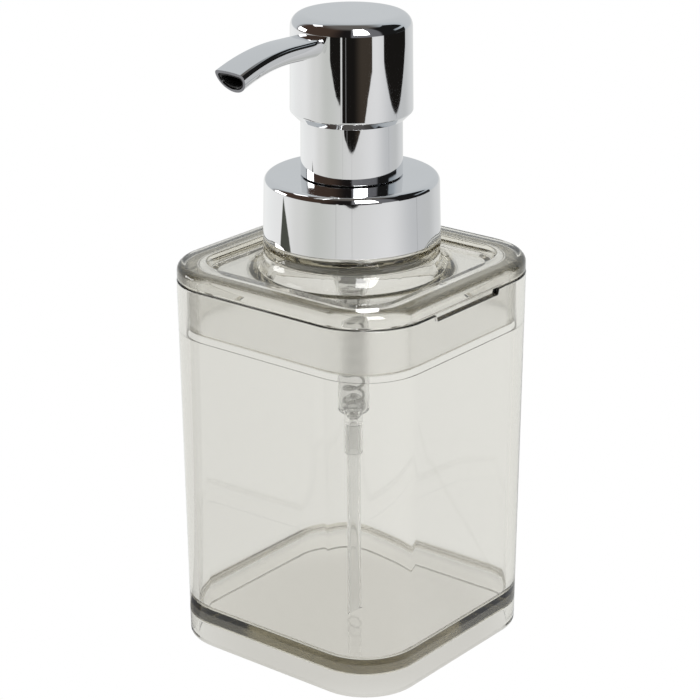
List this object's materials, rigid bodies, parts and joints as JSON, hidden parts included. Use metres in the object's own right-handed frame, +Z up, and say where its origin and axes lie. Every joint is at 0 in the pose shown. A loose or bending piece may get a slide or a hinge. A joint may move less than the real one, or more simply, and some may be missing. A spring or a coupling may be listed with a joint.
{
  "type": "soap pump dispenser",
  "caption": "Square tumbler of clear smoke-tinted plastic with a lift-off lid and a screwed-on chromed lotion pump with a curved spout, for dispensing liquid soap by pressing the head.",
  "frame": {"origin": "at table height, in the middle of the box that the dispenser takes up with its spout; the upright axis of tumbler, lid and pump passes 2.8 mm behind it", "axes": "+Z up along the pump's axis, the spout points to -Y, turned 4 degrees towards -X, and the pry notch in the rim is on the +X side"},
  "size_m": [0.07, 0.0756, 0.1588],
  "materials": {
    "smoked_plastic": "clear, slightly smoke tinted, polished",
    "chrome": "bright chrome plating on moulded ABS",
    "natural_plastic": "natural translucent polypropylene",
    "white_plastic": "white moulded plastic",
    "black_plastic": "black moulded plastic",
    "foam": "white foamed sealing ring",
    "steel": "drawn stainless wire and ball"
  },
  "bodies": {
    "tumbler": {"bottle": "smoked_plastic"},
    "lid": {"lid": "smoked_plastic"},
    "pump": {"pump_housing": "natural_plastic", "chaplet": "white_plastic", "stem_seal": "foam", "spring_seat": "natural_plastic", "neck_gasket": "foam", "dip_tube": "natural_plastic", "main_spring": "steel"},
    "closure": {"closure_nut": "white_plastic", "collar_shell": "chrome", "neck_sleeve": "chrome"},
    "inlet_ball": {"inlet_ball": "steel"},
    "plunger": {"piston_core": "natural_plastic"},
    "piston": {"piston": "white_plastic"},
    "head": {"head_shell": "chrome", "head_core": "white_plastic", "spout_liner": "black_plastic", "stem": "natural_plastic"}
  },
  "joints": [
    {"name": "lid_lift", "type": "slide", "parent": "tumbler", "child": "lid", "axis": [0, 0, 1], "range_m": [0, 0.09]},
    {"name": "pump_rise", "type": "slide", "parent": "lid", "child": "pump", "axis": [0, 0, 1], "range_m": [0, 0.0082]},
    {"name": "closure_turn", "type": "hinge", "parent": "pump", "child": "closure", "pos_m": [0, 0.0028, 0.11], "axis": [0, 0, 1], "range_deg": [0, 720]},
    {"name": "head_press", "type": "slide", "parent": "pump", "child": "plunger", "axis": [0, 0, -1], "range_m": [0, 0.012], "stiffness_N_per_m": 600, "springref_m": -0.006, "deforming": ["main_spring"]},
    {"name": "head_swivel", "type": "hinge", "parent": "plunger", "child": "head", "pos_m": [0, 0.0028, 0.145], "axis": [0, 0, 1], "continuous": true},
    {"name": "piston_float", "type": "slide", "parent": "plunger", "child": "piston", "axis": [0, 0, 1], "range_m": [0, 0.001]},
    {"name": "ball_lift", "type": "slide", "parent": "pump", "child": "inlet_ball", "axis": [0, 0, 1], "range_m": [0, 0.0009]}
  ],
  "couplings": [
    {"joint": "pump_rise", "follows": "closure_turn", "m_per_rad": 0.00063662}
  ]
}
